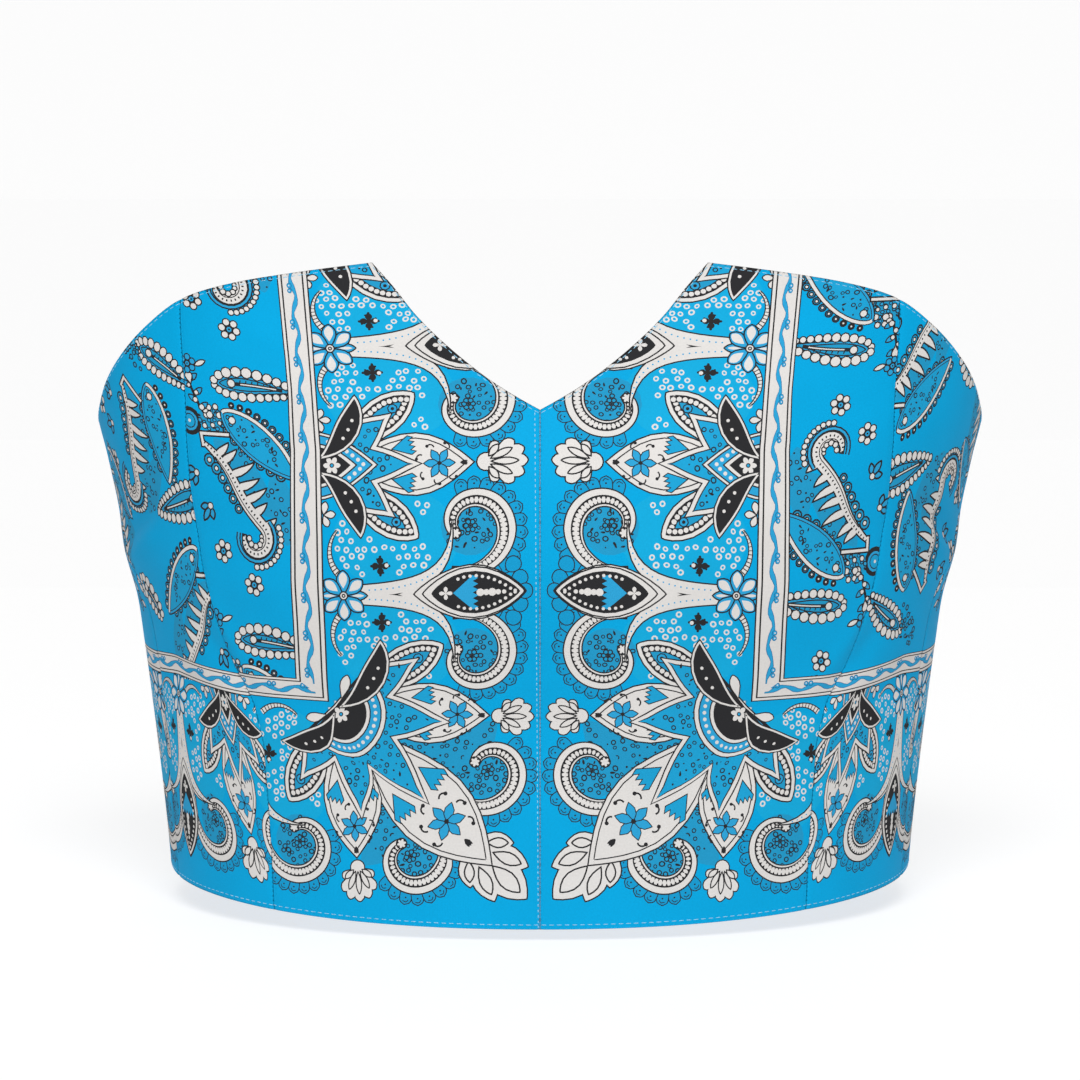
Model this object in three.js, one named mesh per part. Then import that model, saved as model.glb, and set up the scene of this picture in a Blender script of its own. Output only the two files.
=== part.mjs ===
// Strapless top of printed cotton: six shaped panels sewn into an open tube with a sweetheart neckline.
// Millimetres, +Z up. The front faces -Y and the origin is the middle of the hollow at underarm level.
import * as THREE from 'three';

// Driving dimensions
const wall = 1.5;                  // cloth with its turnings, taken as one layer
const seamGap = 0.3;               // between the panels of a seam
const rows = 16;                   // steps of a panel from hem to top edge
const squareness = 2.15;           // 2 gives elliptical rings, more gives fuller corners
const hemHeight = -162;            // hem at the sides and back
const hemDip = 7.4;                // how much lower the hem hangs at centre front
const hemDipSpread = 1.3;          // larger keeps the dip nearer to centre front
const peakTurn = 20;               // degrees from centre front to each peak of the neckline
const cloth = { color: 0x0a97dc, roughness: 0.72, metalness: 0 };

// The hollow form: half width to each side, and depth to the front and back, ring by ring.
const rings = [
  { height: -180, halfWidth: 129.3, frontDepth: 95.5, backDepth: 85.5 },
  { height: -165, halfWidth: 129.8, frontDepth: 96.5, backDepth: 86.5 },
  { height: -135, halfWidth: 132.5, frontDepth: 99.5, backDepth: 89.0 },
  { height: -100, halfWidth: 136.5, frontDepth: 105.0, backDepth: 93.0 },
  { height: -82, halfWidth: 138.8, frontDepth: 110.0, backDepth: 95.0 },
  { height: -66, halfWidth: 141.1, frontDepth: 115.0, backDepth: 97.0 },
  { height: -50, halfWidth: 145.4, frontDepth: 118.5, backDepth: 98.5 },
  { height: -35, halfWidth: 147.3, frontDepth: 119.5, backDepth: 100.0 },
  { height: -17, halfWidth: 151.1, frontDepth: 118.0, backDepth: 101.5 },
  { height: 0, halfWidth: 154.9, frontDepth: 112.0, backDepth: 102.0 },
  { height: 30, halfWidth: 155.4, frontDepth: 95.5, backDepth: 101.0 },
  { height: 60, halfWidth: 152.0, frontDepth: 77.0, backDepth: 98.0 },
];

// The top edge: the neckline from centre front to the peak, then down to the underarm and across the back.
const neckline = [
  { turn: 0, height: 7.3 },
  { turn: 5, height: 16.4 },
  { turn: 10, height: 27.2 },
  { turn: 14, height: 37.2 },
  { turn: 17, height: 46.2 },
  { turn: peakTurn, height: 53.9 },
];
const outerEdge = [
  { turn: peakTurn, height: 53.9 },
  { turn: 30, height: 50.6 },
  { turn: 41.5, height: 46.1 },
  { turn: 50.8, height: 40.3 },
  { turn: 58.9, height: 30.5 },
  { turn: 66.2, height: 20.5 },
  { turn: 73.5, height: 10.1 },
  { turn: 79, height: 1.8 },
  { turn: 85, height: -4.2 },
  { turn: 92, height: -7.2 },
  { turn: 105, height: -8.8 },
  { turn: 130, height: -10.8 },
  { turn: 180, height: -14.0 },
];

// The seams that shape the body, in degrees round from centre front.
const princessSeam = [
  { height: -170, turn: 42.9 },
  { height: -140, turn: 42.5 },
  { height: -117, turn: 42.3 },
  { height: -105, turn: 42.6 },
  { height: -95, turn: 43.6 },
  { height: -82, turn: 47.1 },
  { height: -66, turn: 49.2 },
  { height: -45, turn: 50.0 },
  { height: -25, turn: 50.4 },
  { height: 5, turn: 48.8 },
  { height: 45, turn: 51.0 },
  { height: 55, turn: 51.2 },
];
const sideSeam = [
  { height: -170, turn: 76 },
  { height: -120, turn: 74 },
  { height: -85, turn: 71.5 },
  { height: -60, turn: 74 },
  { height: -45, turn: 79 },
  { height: -25, turn: 84 },
  { height: 5, turn: 86 },
];
const centreFront = [{ height: -170, turn: 0 }, { height: 55, turn: 0 }];
const centreBack = [{ height: -170, turn: 180 }, { height: 55, turn: 180 }];

// Smooth curve through a table: cubic Hermite with tangents from the neighbouring rows.
function along(table, key, value, place) {
  const last = table.length - 1;
  const at = Math.min(Math.max(place, table[0][key]), table[last][key]);
  let i = 0;
  while (i < last - 1 && at > table[i + 1][key]) i += 1;
  const tangent = (k) => {
    const before = table[Math.max(k - 1, 0)];
    const after = table[Math.min(k + 1, last)];
    return (after[value] - before[value]) / (after[key] - before[key]);
  };
  const span = table[i + 1][key] - table[i][key];
  const t = (at - table[i][key]) / span;
  const [t2, t3] = [t * t, t * t * t];
  return (2 * t3 - 3 * t2 + 1) * table[i][value] + (t3 - 2 * t2 + t) * span * tangent(i)
    + (3 * t2 - 2 * t3) * table[i + 1][value] + (t3 - t2) * span * tangent(i + 1);
}

const radians = (degrees) => degrees * Math.PI / 180;
const mix = (a, b, share) => a + (b - a) * share;

function hem(turn) {
  const forward = Math.max(Math.cos(radians(turn)), 0);
  return hemHeight - hemDip * forward ** hemDipSpread;
}

function topEdge(turn) {
  const round = Math.abs(turn);
  return along(round < peakTurn ? neckline : outerEdge, 'turn', 'height', round);
}

// A point of the outer surface: a superellipse ring, deeper at the front than at the back.
function surface(turn, height) {
  const angle = radians(turn);
  const halfWidth = along(rings, 'height', 'halfWidth', height);
  const depth = along(rings, 'height', Math.cos(angle) >= 0 ? 'frontDepth' : 'backDepth', height);
  const rounded = (v) => Math.sign(v) * Math.abs(v) ** (2 / squareness);
  return new THREE.Vector3(halfWidth * rounded(Math.sin(angle)), -depth * rounded(Math.cos(angle)), height);
}

// The surface point moved sideways along its ring and inwards along its normal.
function clothPoint(turn, height, sideways, inwards) {
  const [turnStep, heightStep] = [0.5, 0.5];
  const around = surface(turn + turnStep, height).sub(surface(turn - turnStep, height)).normalize();
  const upwards = surface(turn, height + heightStep).sub(surface(turn, height - heightStep)).normalize();
  const outwards = around.clone().cross(upwards).normalize();
  return surface(turn, height).addScaledVector(around, sideways).addScaledVector(outwards, -inwards);
}

// One panel between two seams: an outer and an inner grid, closed along its four edges.
function panelGeometry(leftSeam, rightSeam, shares) {
  const turnAt = (share, height) => mix(leftSeam(height), rightSeam(height), share);
  const meet = (share, edge) => {
    let height = edge(turnAt(share, 0));
    for (let pass = 0; pass < 30; pass += 1) height = mix(height, edge(turnAt(share, height)), 0.7);
    return height;
  };
  const points = [];
  for (const inwards of [0, wall]) {
    for (const share of shares) {
      const [low, high] = [meet(share, hem), meet(share, topEdge)];
      const sideways = share === 0 ? seamGap / 2 : share === 1 ? -seamGap / 2 : 0;
      for (let row = 0; row <= rows; row += 1) {
        const height = mix(low, high, row / rows);
        points.push(clothPoint(turnAt(share, height), height, sideways, inwards));
      }
    }
  }
  const layer = shares.length * (rows + 1);
  const at = (column, row, inner) => inner * layer + column * (rows + 1) + row;
  const faces = [];
  const quad = (a, b, c, d) => faces.push(a, b, c, a, c, d);
  const lastColumn = shares.length - 1;
  for (let column = 0; column < lastColumn; column += 1) {
    for (let row = 0; row < rows; row += 1) {
      quad(at(column, row, 0), at(column + 1, row, 0), at(column + 1, row + 1, 0), at(column, row + 1, 0));
      quad(at(column, row, 1), at(column, row + 1, 1), at(column + 1, row + 1, 1), at(column + 1, row, 1));
    }
    quad(at(column, 0, 1), at(column + 1, 0, 1), at(column + 1, 0, 0), at(column, 0, 0));
    quad(at(column, rows, 0), at(column + 1, rows, 0), at(column + 1, rows, 1), at(column, rows, 1));
  }
  for (let row = 0; row < rows; row += 1) {
    quad(at(0, row, 1), at(0, row, 0), at(0, row + 1, 0), at(0, row + 1, 1));
    quad(at(lastColumn, row, 0), at(lastColumn, row, 1), at(lastColumn, row + 1, 1), at(lastColumn, row + 1, 0));
  }
  const geometry = new THREE.BufferGeometry();
  geometry.setAttribute('position', new THREE.Float32BufferAttribute(points.flatMap((p) => p.toArray()), 3));
  geometry.setIndex(faces);
  geometry.computeVertexNormals();
  return geometry;
}

const seamCurve = (table, side) => (height) => side * along(table, 'height', 'turn', height);
const evenShares = (columns) => Array.from({ length: columns + 1 }, (_, column) => column / columns);
const peakShare = peakTurn / along(princessSeam, 'height', 'turn', 55);
const frontShares = [
  ...evenShares(6).map((share) => share * peakShare),
  ...evenShares(7).slice(1).map((share) => mix(peakShare, 1, share)),
];

// The pieces of one half, from centre front round to centre back.
const pieces = [
  { name: 'front', from: centreFront, to: princessSeam, shares: frontShares },
  { name: 'side', from: princessSeam, to: sideSeam, shares: evenShares(8) },
  { name: 'back', from: sideSeam, to: centreBack, shares: evenShares(12) },
];

const group = new THREE.Group();
for (const { name: halfName, side } of [{ name: 'left', side: -1 }, { name: 'right', side: 1 }]) {
  for (const { name, from, to, shares } of pieces) {
    const [start, end] = [seamCurve(from, side), seamCurve(to, side)];
    const geometry = side > 0
      ? panelGeometry(start, end, shares)
      : panelGeometry(end, start, shares.map((share) => 1 - share).reverse());
    const mesh = new THREE.Mesh(geometry, new THREE.MeshStandardMaterial(cloth));
    mesh.name = `${name}_${halfName}`;
    group.add(mesh);
  }
}

export default group;
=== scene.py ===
import math
import bpy
import numpy as np
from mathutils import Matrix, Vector
from mathutils.geometry import delaunay_2d_cdt


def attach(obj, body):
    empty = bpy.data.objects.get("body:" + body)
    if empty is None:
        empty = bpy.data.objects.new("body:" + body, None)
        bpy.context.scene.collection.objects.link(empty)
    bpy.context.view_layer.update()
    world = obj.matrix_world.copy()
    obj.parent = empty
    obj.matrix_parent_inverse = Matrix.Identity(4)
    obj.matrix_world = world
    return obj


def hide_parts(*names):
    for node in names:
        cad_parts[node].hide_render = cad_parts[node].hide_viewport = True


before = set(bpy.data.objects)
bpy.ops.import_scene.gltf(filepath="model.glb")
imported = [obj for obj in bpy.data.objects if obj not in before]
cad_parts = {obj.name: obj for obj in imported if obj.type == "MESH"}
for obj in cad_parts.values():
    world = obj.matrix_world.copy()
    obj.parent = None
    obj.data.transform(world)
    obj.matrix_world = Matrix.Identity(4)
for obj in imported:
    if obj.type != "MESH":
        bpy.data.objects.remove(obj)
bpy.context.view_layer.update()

MM = 0.001


# Camera: level with the chest and 7 degrees above it, far enough back for a product shot with little
# perspective. It aims at the middle of the cloth's height, and the shift leaves the room under the hem that
# such shots have.
def in_scene(name, data):
    """New object linked into the scene."""
    thing = bpy.data.objects.new(name, data)
    bpy.context.scene.collection.objects.link(thing)
    return thing


camera_rise = math.radians(7)
camera_reach = 1.9
aim = Vector((0, 0, -0.0695))
camera_data = bpy.data.cameras.new("camera")
camera_data.sensor_width = 36
camera_data.lens = 180.2
camera_data.shift_y = 0.0556
camera_data.clip_end = 20
camera = in_scene("camera", camera_data)
camera.location = aim + camera_reach * Vector((0, -math.cos(camera_rise), math.sin(camera_rise)))
camera.rotation_euler = (math.pi / 2 - camera_rise, 0, 0)
bpy.context.scene.camera = camera


# The worn form: six panels of one printed cotton, sewn into a tube that stays open at the neckline and hem.
# Sizes are in millimetres. Each ring is a rounded oval, deeper at the bust than at the back.
RINGS = np.array([  # height, half width, front depth, back depth
    (-180, 129.3, 95.5, 85.5),
    (-165, 129.8, 96.5, 86.5),
    (-135, 132.5, 99.5, 89.0),
    (-100, 136.5, 105.0, 93.0),
    (-82, 138.8, 110.0, 95.0),
    (-66, 141.1, 115.0, 97.0),
    (-50, 145.4, 118.5, 98.5),
    (-35, 147.3, 119.5, 100.0),
    (-17, 151.1, 118.0, 101.5),
    (0, 154.9, 112.0, 102.0),
    (30, 155.4, 95.5, 101.0),
    (60, 152.0, 77.0, 98.0),
])
NECKLINE = np.array([(0, 7.3), (5, 16.4), (10, 27.2), (14, 37.2), (17, 46.2), (20, 53.9)])  # turn, height
OUTER_EDGE = np.array([  # turn, height
    (20, 53.9),
    (30, 50.6),
    (41.5, 46.1),
    (50.8, 40.3),
    (58.9, 30.5),
    (66.2, 20.5),
    (73.5, 10.1),
    (79, 1.8),
    (85, -4.2),
    (92, -7.2),
    (105, -8.8),
    (130, -10.8),
    (180, -14.0),
])
PEAK_TURN = 20
HEM, HEM_DIP = -162, 7.4  # height at the sides and back, and how much lower it hangs at centre front
SQUARENESS = 2.15  # 2 gives elliptical rings, and more gives fuller corners
PRINCESS_SEAM = np.array([  # height, turn
    (-170, 42.9),
    (-140, 42.5),
    (-117, 42.3),
    (-105, 42.6),
    (-95, 43.6),
    (-82, 47.1),
    (-66, 49.2),
    (-45, 50.0),
    (-25, 50.4),
    (5, 48.8),
    (45, 51.0),
    (55, 51.2),
])
SIDE_SEAM = np.array([  # height, turn
    (-170, 76),
    (-120, 74),
    (-85, 71.5),
    (-60, 74),
    (-45, 79),
    (-25, 84),
    (5, 86),
])
CENTRE_FRONT = np.array([(-170, 0), (55, 0)])
CENTRE_BACK = np.array([(-170, 180), (55, 180)])


def along(table, column, place):
    """Smooth curve through a table: cubic Hermite, with tangents from the rows on each side."""
    keys, values = table[:, 0], table[:, column]
    last = len(keys) - 1
    before = np.maximum(np.arange(last + 1) - 1, 0)
    after = np.minimum(np.arange(last + 1) + 1, last)
    tangent = (values[after] - values[before]) / (keys[after] - keys[before])
    at = np.clip(place, keys[0], keys[-1])
    i = np.clip(np.searchsorted(keys, at, side="right") - 1, 0, last - 1)
    span = keys[i + 1] - keys[i]
    t = (at - keys[i]) / span
    return (
        (2 * t**3 - 3 * t**2 + 1) * values[i]
        + (t**3 - 2 * t**2 + t) * span * tangent[i]
        + (3 * t**2 - 2 * t**3) * values[i + 1]
        + (t**3 - t**2) * span * tangent[i + 1]
    )


def hem_height(turn):
    """The hem lies level and dips towards centre front."""
    return HEM - HEM_DIP * np.maximum(np.cos(np.radians(turn)), 0) ** 1.3


def top_height(turn):
    """The neckline up to the peak, then the edge down to the underarm and across the back."""
    return np.where(turn < PEAK_TURN, along(NECKLINE, 1, turn), along(OUTER_EDGE, 1, turn))


def ring_point(turn, height):
    """Superellipse ring: sine and cosine raised to 2 / SQUARENESS, times half width and depth. Turn 0 is
    centre front."""
    sine, cosine = np.sin(np.radians(turn)), np.cos(np.radians(turn))
    rounded = lambda v: np.sign(v) * np.abs(v) ** (2 / SQUARENESS)
    depth = np.where(cosine >= 0, along(RINGS, 2, height), along(RINGS, 3, height))
    across = along(RINGS, 1, height) * rounded(sine)
    return np.stack([across, -depth * rounded(cosine), height + 0 * turn], -1)


def lengths_along(path):
    """Length along a path up to each of its points."""
    return np.concatenate([[0], np.cumsum(np.linalg.norm(np.diff(path, axis=0), axis=1))])


# Cloth lengths on the form: how far a point lies round from centre front, and how far up from the lowest hem.
turn_steps = np.linspace(0, 180, 721)
height_steps = np.linspace(-180, 60, 121)
ring_grid = ring_point(turn_steps[None, :], height_steps[:, None])
ring_gaps = np.linalg.norm(np.diff(ring_grid, axis=1), axis=2)
ring_lengths = np.concatenate([np.zeros((len(height_steps), 1)), np.cumsum(ring_gaps, axis=1)], axis=1)
length_steps = np.linspace(0, ring_lengths.max(), 901)
turns_by_length = np.array([np.interp(length_steps, row, turn_steps) for row in ring_lengths])
rise_lengths = lengths_along(ring_point(np.full(121, 20.0), height_steps))
rise_lengths -= np.interp(HEM - HEM_DIP, height_steps, rise_lengths)


def looked_up(grid, rows, row_place, columns, column_place):
    """Value of a grid at a place between its rows and columns, mixed from the four nearest cells."""
    r = np.clip(np.interp(row_place, rows, np.arange(len(rows))), 0, len(rows) - 1.001)
    c = np.clip(np.interp(column_place, columns, np.arange(len(columns))), 0, len(columns) - 1.001)
    i, j = r.astype(int), c.astype(int)
    r, c = r - i, c - j
    return (
        grid[i, j] * (1 - r) * (1 - c)
        + grid[i + 1, j] * r * (1 - c)
        + grid[i, j + 1] * (1 - r) * c
        + grid[i + 1, j + 1] * r * c
    )


def length_round(turn, height):
    """Length round a ring from centre front to a turn."""
    return looked_up(ring_lengths, height_steps, height, turn_steps, turn)


def turn_at_length(length, height):
    """Turn at a length round a ring: the reverse of length_round."""
    return looked_up(turns_by_length, height_steps, height, length_steps, length)


# The print: bandana cotton, screen printed in black, white and three blues, each motif drawn flat in
# millimetres. A drawing is a list of (ink, outline); later outlines lie on earlier ones, as one screen
# prints over another.
LINE = 0.5  # printed outline


def through(points, steps=5):
    """Smooth curve through the points: Catmull-Rom, a cubic between each pair with tangents from the
    neighbours."""
    points = np.asarray(points, float)
    padded = np.concatenate([[2 * points[0] - points[1]], points, [2 * points[-1] - points[-2]]])
    t = np.linspace(0, 1, steps, endpoint=False)[None, :, None]
    a, b, c, d = (padded[k : len(points) - 1 + k][:, None, :] for k in range(4))
    curve = 0.5 * (2 * b + (c - a) * t + (2 * a - 5 * b + 4 * c - d) * t**2 + (3 * b - a - 3 * c + d) * t**3)
    return np.concatenate([curve.reshape(-1, 2), points[-1:]])


def spot(x, y, radius, sides=9, tall=1.0):
    """Round spot, or an oval one where tall isn't 1."""
    angle = np.linspace(0, 2 * math.pi, sides, endpoint=False)
    return np.stack([x + radius * np.cos(angle), y + tall * radius * np.sin(angle)], -1)


def leaf(length, half, belly=0.5, blunt=1.0, sides=9):
    """Leaf from the origin along x: half width times a sine of the length, widest at belly, rounder if
    blunt < 1."""
    s = 0.5 - 0.5 * np.cos(np.linspace(0, math.pi, sides))
    y = half * np.maximum(np.sin(math.pi * s ** (math.log(0.5) / math.log(belly))), 0) ** blunt
    return np.concatenate([np.stack([length * s, -y], -1), np.stack([length * s, y], -1)[-2:0:-1]])


def turned(outline, degrees=0.0, at=(0, 0), size=1.0, flip=False):
    """An outline, or a whole drawing, mirrored in y if flip, then sized, turned and moved."""
    if isinstance(outline, list):
        return [(ink, turned(part, degrees, at, size, flip)) for ink, part in outline]
    angle = math.radians(degrees)
    turn = np.array([(math.cos(angle), math.sin(angle)), (-math.sin(angle), math.cos(angle))])
    return (outline * np.array([1, -1 if flip else 1]) * size) @ turn + np.array(at)


def placed(drawing, at, stretch=(1, 1)):
    """A drawing stretched in x and y, and moved."""
    return [(ink, part * stretch + at) for ink, part in drawing]


def pair(drawing):
    """A drawing and its mirror image across the motif's axis."""
    return drawing + turned(drawing, flip=True)


def whorl(drawing, count, at=(0, 0), first=0):
    """Copies of a drawing at even angles round a place."""
    parts = []
    for degrees in range(first, first + 360, 360 // count):
        parts += turned(drawing, degrees, at)
    return parts


def unit(vectors):
    """Vectors at length one."""
    return vectors / np.maximum(np.linalg.norm(vectors, axis=-1, keepdims=True), 1e-9)


def grown(outline, by):
    """Outline moved outwards along the mean of its two edge normals, with corners mitred up to 2.2 times."""
    x, y = outline[:, 0], outline[:, 1]
    if np.sum(x * np.roll(y, -1) - np.roll(x, -1) * y) < 0:
        outline = outline[::-1]
    edge = unit(np.roll(outline, -1, axis=0) - outline)
    normal = np.stack([edge[:, 1], -edge[:, 0]], -1)
    mean = normal + np.roll(normal, 1, axis=0)
    mean /= np.maximum(np.sum(mean * normal, axis=1, keepdims=True), 0.45)
    return outline + by * mean


def filled(ink, *outlines, line=LINE):
    """Outlines joined into one shape of an ink, with a black line round the whole."""
    return [("black", grown(o, line / 2)) for o in outlines] + [(ink, grown(o, -line / 2)) for o in outlines]


def sideways(path):
    """Unit normals to the left of a path."""
    ahead = unit(np.gradient(path, axis=0))
    return np.stack([-ahead[:, 1], ahead[:, 0]], -1)


def ribbon(path, width, shift=0.0):
    """Band along a path: width wide, and shifted to the path's left."""
    path = np.asarray(path, float)
    normal = sideways(path)
    half = np.broadcast_to(np.asarray(width, float), len(path))[:, None] / 2
    middle = path + normal * np.broadcast_to(np.asarray(shift, float), len(path))[:, None]
    return np.concatenate([middle + normal * half, (middle - normal * half)[::-1]])


def spaced(path, step, start=0.5):
    """Places along a path every step, from start steps in, as (points, directions in degrees, share of the
    length)."""
    lengths = lengths_along(path)
    at = np.arange(start * step, lengths[-1], step)
    points, ahead, behind = (
        np.stack([np.interp(at + shift, lengths, path[:, k]) for k in (0, 1)], -1)
        for shift in (0, 0.1, -0.1)
    )
    run = ahead - behind
    return points, np.degrees(np.arctan2(run[:, 1], run[:, 0])), at / lengths[-1]


def stepped(outline, step):
    """The same outline with points added along its edges, so that none is longer than the step."""
    run = np.roll(outline, -1, axis=0) - outline
    pieces = np.maximum(np.ceil(np.linalg.norm(run, axis=1) / step).astype(int), 1)
    number = np.arange(pieces.sum()) - np.repeat(np.cumsum(pieces) - pieces, pieces)
    each = np.repeat(run / pieces[:, None], pieces, axis=0)
    return np.repeat(outline, pieces, axis=0) + each * number[:, None]


def inside(outline, points):
    """Winding test: a ray to the right from an inner point crosses the outline more often one way than the
    other."""
    x1, y1 = outline[:, 0], outline[:, 1]
    x2, y2 = np.roll(x1, -1), np.roll(y1, -1)
    px, py = points[:, :1], points[:, 1:]
    crosses = ((y1 > py) != (y2 > py)) & (px < (x2 - x1) * (py - y1) / (y2 - y1 + 1e-12) + x1)
    return (crosses * np.sign(y2 - y1)).sum(axis=1) != 0


def edge_distance(outline, points):
    """Distance of each point from a closed outline, and how far round the outline the nearest place is."""
    run = np.roll(outline, -1, axis=0) - outline
    long = np.linalg.norm(run, axis=1)
    offset = points[:, None, :] - outline[None, :, :]
    share = np.clip(np.sum(offset * run, axis=2) / np.maximum(long, 1e-9) ** 2, 0, 1)
    distance = np.linalg.norm(offset - share[:, :, None] * run, axis=2)
    best = distance.argmin(axis=1)
    rows = np.arange(len(points))
    return distance[rows, best], (np.cumsum(long) - long)[best] + share[rows, best] * long[best]


def net(region, step, rise=0.87, stagger=0.5):
    """Grid of points over a region's box: the rows lie rise steps apart, and every second one is moved along
    by the share stagger of a step."""
    low, high = region.min(axis=0), region.max(axis=0)
    across, up = np.meshgrid(np.arange(low[0], high[0], step), np.arange(low[1], high[1], step * rise))
    across[1::2] += step * stagger
    return np.stack([across.ravel(), up.ravel()], -1)


def clear_of(outline, points, margin):
    """Those points that lie further than the margin from an outline."""
    return points[edge_distance(outline, points)[0] > margin] if len(points) else points


def bent(outline, degrees, length):
    """What lies along x, bent to its left into an arc that turns by so many degrees over the length."""
    if isinstance(outline, list):
        return [(ink, bent(part, degrees, length)) for ink, part in outline]
    radius = length / math.radians(degrees)
    angle = outline[:, 0] / radius
    reach = radius - outline[:, 1]
    return np.stack([reach * np.sin(angle), radius - reach * np.cos(angle)], -1)


def arc(centre, radius, first, last, count=14):
    """Points round a centre between two angles in degrees; with two radii the arc is a spiral from one to
    the other."""
    angle = np.radians(np.linspace(first, last, count))
    reach = np.linspace(*np.broadcast_to(radius, 2), count)[:, None]
    return np.array(centre) + reach * np.stack([np.cos(angle), np.sin(angle)], -1)


def dome(height, half, power=0.62, sides=8):
    """Pointed dome on the y axis: x is height times a power of one minus |y| / half."""
    s = np.sin(np.linspace(-1, 1, 2 * sides + 1) * math.pi / 2)
    return np.stack([height * (1 - np.abs(s)) ** power, half * s], -1)


def star(outer, falloff, depth, gap, rays):
    """Fan of pointed rays round x, a gap apart, up to so many on a side. The reach is outer less falloff
    per degree, and drops between two rays by the share depth, as a power of the angle from the nearer
    one."""
    degrees = np.linspace(-gap * (rays + 0.5), gap * (rays + 0.5), 10 * (2 * rays + 1) + 1)
    off = 2 * np.abs(degrees / gap - np.round(degrees / gap))
    reach = (outer - falloff * np.abs(degrees)) * (1 - depth * off**0.75)
    fan = reach[:, None] * np.stack([np.cos(np.radians(degrees)), np.sin(np.radians(degrees))], -1)
    return np.concatenate([fan, [(0, 0)]])


def jagged(length, half, teeth=4):
    """Wedge that opens along x from the origin, with teeth cut into its far end."""
    y = np.linspace(-half, half, 2 * teeth + 1)
    x = length * np.where(np.arange(len(y)) % 2, 1.0, 0.78)
    return np.concatenate([[(0, 0)], np.stack([x, y], -1)])


# Motifs of the border. Each is drawn round its own axis: x runs from the frame towards centre front.
HALF_REPEAT = 43.6  # from a stem's axis to the next lotus's
SHELL_AT, FLOWER_AT = 53.6, 7.2  # x of the shell past a lotus, and of the flower on a stem's foot
CLOVER_AT, SCROLL_AT = (20.6, 9.8), (51.5, 22.5)  # from a stem's axis


def beads(path, step, radius, ink="white", sides=7):
    """Row of round spots along a path."""
    return [(ink, spot(x, y, radius, sides)) for x, y in spaced(path, step)[0]]


def frame_flower():
    """Eight petals round a ringed eye: six full ones, and a narrow blue one each way along the axis."""
    narrow = filled("vine", leaf(8.6, 1.7, 0.6, 0.8)) + [("white", leaf(4.6, 0.55, 0.6, 0.8) + (2.8, 0))]
    full = filled("vine", leaf(8.8, 2.45, 0.62, 0.7)) + [("white", leaf(5.6, 1.55, 0.6, 0.7) + (2.6, 0))]
    parts = whorl(narrow, 2)
    for degrees in (38, 90, 142, 218, 270, 322):
        parts += turned(full, degrees)
    rings = ("black", 1.7, 12), ("white", 1.2, 12), ("black", 0.75, 10), ("white", 0.32, 6)
    return parts + [(ink, spot(0, 0, radius, sides)) for ink, radius, sides in rings]


def clover():
    """Small black four-leafed clover with a ball past each leaf, a smaller one beside it, and one white
    spot."""
    leaflet = [("black", spot(1.75, 0, 1.22, 10)), ("black", spot(3.1, 0, 0.5, 7))]
    leaflet += [("black", spot(2.3, 1.05, 0.4, 6))]
    return [("black", spot(0, 0, 1.0))] + whorl(leaflet, 4) + [("white", spot(2.2, 0.2, 0.72))]


# How far a stem stands out from the frame, and how far each branch swings aside
STEM_REACH, STEM_SPREAD = 45.5, 23.0


def branch(sides=14):
    """Middle of a stem's branch: x runs out as a quarter sine and y rises as a cube, so the two part late."""
    s = np.linspace(0, 1, sides)
    return np.stack([6 + (STEM_REACH - 6) * np.sin(math.pi / 2 * s), 1.5 + STEM_SPREAD * s**3], -1)


def stem():
    """White stem that forks in two, with a black bud in the fork and a white line round the bud."""
    middle = branch()
    s = np.linspace(0, 1, len(middle))
    width = 3.3 * (1 + 0.55 * np.sin(math.pi * s)) * (1 - 0.93 * s**3)
    arms = [ribbon(middle * (1, side), width) for side in (1, -1)]
    parts = filled("white", *arms, leaf(24, 5.4, 0.62, 0.8) + (26, 0))
    for side in (1, -1):
        parts += beads(middle[2:-1] * (1, side), 2.1, 0.33, "vine", sides=5)
    for length, half, belly, start in ((38, 9.6, 0.52, 32), (34.5, 8.9, 0.5, 35)):
        parts += filled("white", leaf(length, half, belly, 0.8, 13) + (start, 0))
    bud = leaf(30, 7.4, 0.48, 0.78, 13) + (38, 0)
    parts += [("black", bud), ("vine", jagged(8.5, 6.0, 6) + (45.4, 0))]
    parts += whorl([("white", leaf(2.3, 0.72, 0.62, 0.6, 6))], 4, (42.9, 0))
    for number, radius in enumerate((1.35, 1.1, 1.4, 0.95, 0.75)):
        parts += [("white", spot(54.6 + 2.0 * number, 0, radius))]
    for side in halves(grown(bud, -1.55)):
        parts += beads(side[4:], 2.1, 0.6)
    return parts


def curl(path, width):
    """Curling tube: a white outer band, a black inner band with white beads, a white inner line, all
    outlined."""
    path = through(path, 6)
    width = np.interp(np.linspace(0, 1, len(path)), np.linspace(0, 1, len(width)), width)
    parts = [("black", ribbon(path, width + LINE)), ("white", ribbon(path, width - LINE))]
    parts += [("black", ribbon(path, 0.46 * width + 0.35, 0.12 * width))]
    points, degrees, share = spaced(path + sideways(path) * 0.12 * width[:, None], 1.5, 0.8)
    for at, angle, w in zip(points, degrees, np.interp(share, np.linspace(0, 1, len(width)), width)):
        parts += [("white", turned(spot(0, 0, 0.12 * w + 0.1, 6, 1.45), angle, at))]
    parts += [("black", spot(*path[-1], width[-1] * 0.52 + 0.25, 12))]
    return parts + whorl([("white", leaf(width[-1] * 0.46, 0.5, 0.6, 0.6, 5))], 6, path[-1])


# One scale of the lace, and how far apart the scales stand, in mm
SCALE_LENGTH, SCALE_HALF, SCALE_STEP = 5.6, 2.2, 3.4


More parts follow.
